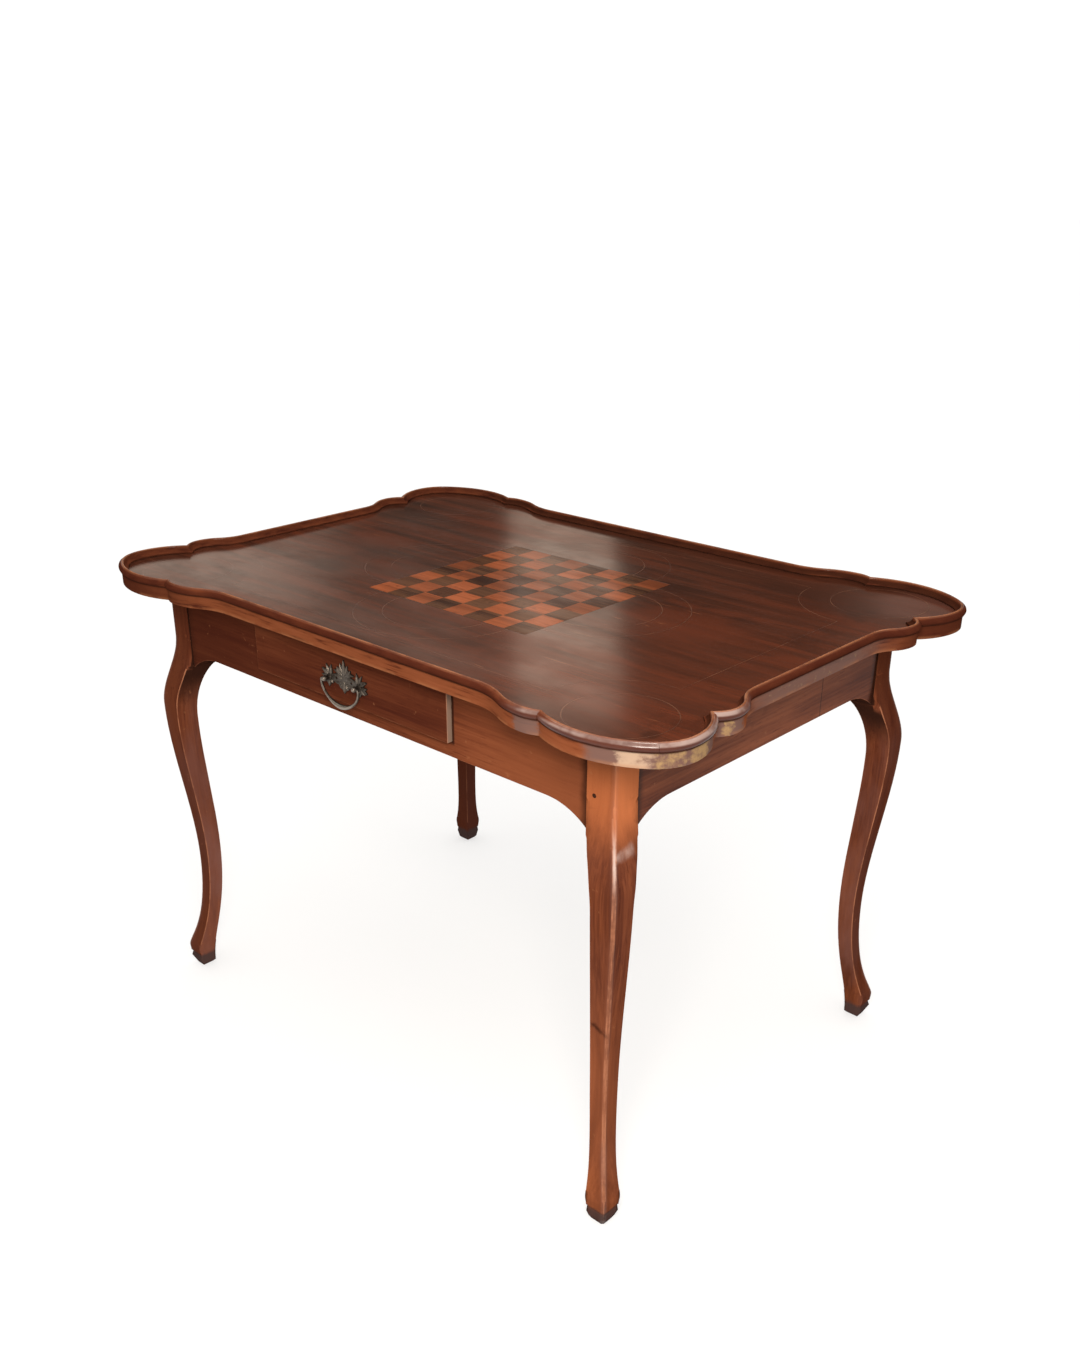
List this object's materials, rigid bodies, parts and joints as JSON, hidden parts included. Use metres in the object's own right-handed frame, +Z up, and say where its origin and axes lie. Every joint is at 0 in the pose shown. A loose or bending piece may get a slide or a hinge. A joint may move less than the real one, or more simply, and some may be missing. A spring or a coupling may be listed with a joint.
{
  "type": "games table",
  "caption": "Games table with a lobed, rimmed top, inlaid chessboard, sawn cabriole legs, a shaped apron and a drawer that slides out by its brass bail handle.",
  "frame": {"origin": "on the floor, under the middle of the top", "axes": "+Z up, +X along the long side, the drawer faces -Y"},
  "size_m": [1.132, 0.7878, 0.74],
  "materials": {
    "field_wood": "old wax polish, worn",
    "light_inlay": "fruitwood under old polish",
    "dark_inlay": "dark walnut under old polish",
    "rim_wood": "rubbed wax polish",
    "frame_wood": "rubbed wax polish",
    "inner_wood": "raw, aged",
    "peg_wood": "dark end grain",
    "brass": "dull, aged"
  },
  "bodies": {
    "table": {"top_board": "field_wood", "light_squares": "light_inlay", "dark_squares": "dark_inlay", "rim_lobe_ends": "rim_wood", "rim_lobe_fronts": "rim_wood", "rim_back": "rim_wood", "rim_left": "rim_wood", "rim_front": "rim_wood", "rim_right": "rim_wood", "leg_back_right": "frame_wood", "leg_back_left": "frame_wood", "leg_front_right": "frame_wood", "leg_front_left": "frame_wood", "front_rail": "frame_wood", "back_rail": "frame_wood", "left_rail": "frame_wood", "right_rail": "frame_wood", "glue_blocks": "inner_wood", "drawer_runner_left": "inner_wood", "drawer_runner_right": "inner_wood", "drawer_guide_left": "inner_wood", "drawer_guide_right": "inner_wood", "drawer_stops": "inner_wood", "joint_pegs": "peg_wood"},
    "drawer": {"drawer_front": "frame_wood", "drawer_side_left": "inner_wood", "drawer_side_right": "inner_wood", "drawer_back": "inner_wood", "drawer_bottom": "inner_wood", "handle_backplate": "brass", "handle_posts": "brass", "handle_nuts": "brass"},
    "bail": {"handle_bail": "brass"}
  },
  "joints": [
    {"name": "drawer_slide", "type": "slide", "parent": "table", "child": "drawer", "axis": [0, -1, 0], "range_m": [0, 0.36]},
    {"name": "bail_hinge", "type": "hinge", "parent": "drawer", "child": "bail", "pos_m": [-0.025, -0.34, 0.656], "axis": [-1, 0, 0], "range_deg": [0, 170]}
  ]
}
